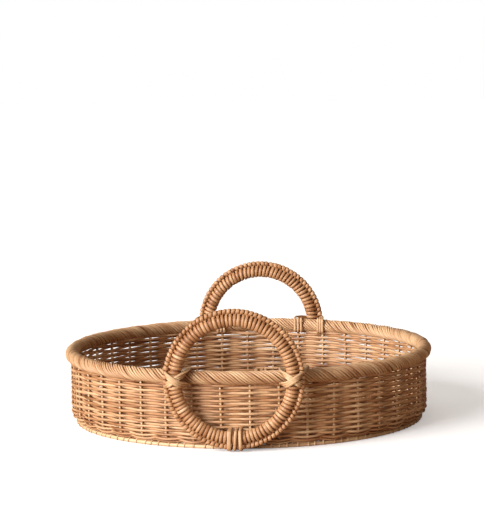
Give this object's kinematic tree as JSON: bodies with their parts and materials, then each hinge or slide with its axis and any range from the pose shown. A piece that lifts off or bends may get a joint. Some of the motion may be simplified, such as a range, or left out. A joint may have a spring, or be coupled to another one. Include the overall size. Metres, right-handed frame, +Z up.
{
  "type": "serving tray",
  "caption": "Round woven cane serving tray with a coiled base, a low randed wall, a twisted rim and two upright ring handles wrapped in cane and lashed on.",
  "frame": {"origin": "on the floor under the centre of the round base, which is the bottom centre of the bounding box", "axes": "+Z up; the ring handles stand at the front (-Y) and at the back (+Y); +X to the right seen from the front"},
  "size_m": [0.4, 0.4256, 0.1477],
  "materials": {
    "base_cane": "satin",
    "stake_cane": "satin",
    "wall_cane": "satin",
    "wall_cane_dark": "satin",
    "core_cane": "satin",
    "rim_cane": "satin",
    "handle_cane": "satin",
    "lashing_cane": "satin"
  },
  "bodies": {
    "root": {"base_sticks_slit": "base_cane", "base_sticks_through": "base_cane", "base_round_upper": "base_cane", "base_round_lower": "base_cane", "foot_rod": "base_cane", "side_stakes": "stake_cane", "outer_wale": "wall_cane", "inner_wale": "wall_cane", "wall_weaver_first": "wall_cane", "wall_weaver_second": "wall_cane_dark", "rim_hoop": "core_cane", "rim_strands": "rim_cane", "handle_front_core": "core_cane", "handle_front_edge_cane": "core_cane", "handle_front_wrap": "handle_cane", "handle_back_core": "core_cane", "handle_back_edge_cane": "core_cane", "handle_back_wrap": "handle_cane", "rim_lashing_front_right": "lashing_cane", "rim_lashing_front_left": "lashing_cane", "rim_lashing_back_right": "lashing_cane", "rim_lashing_back_left": "lashing_cane", "base_lashing_front": "lashing_cane", "base_lashing_back": "lashing_cane"}
  },
  "joints": []
}
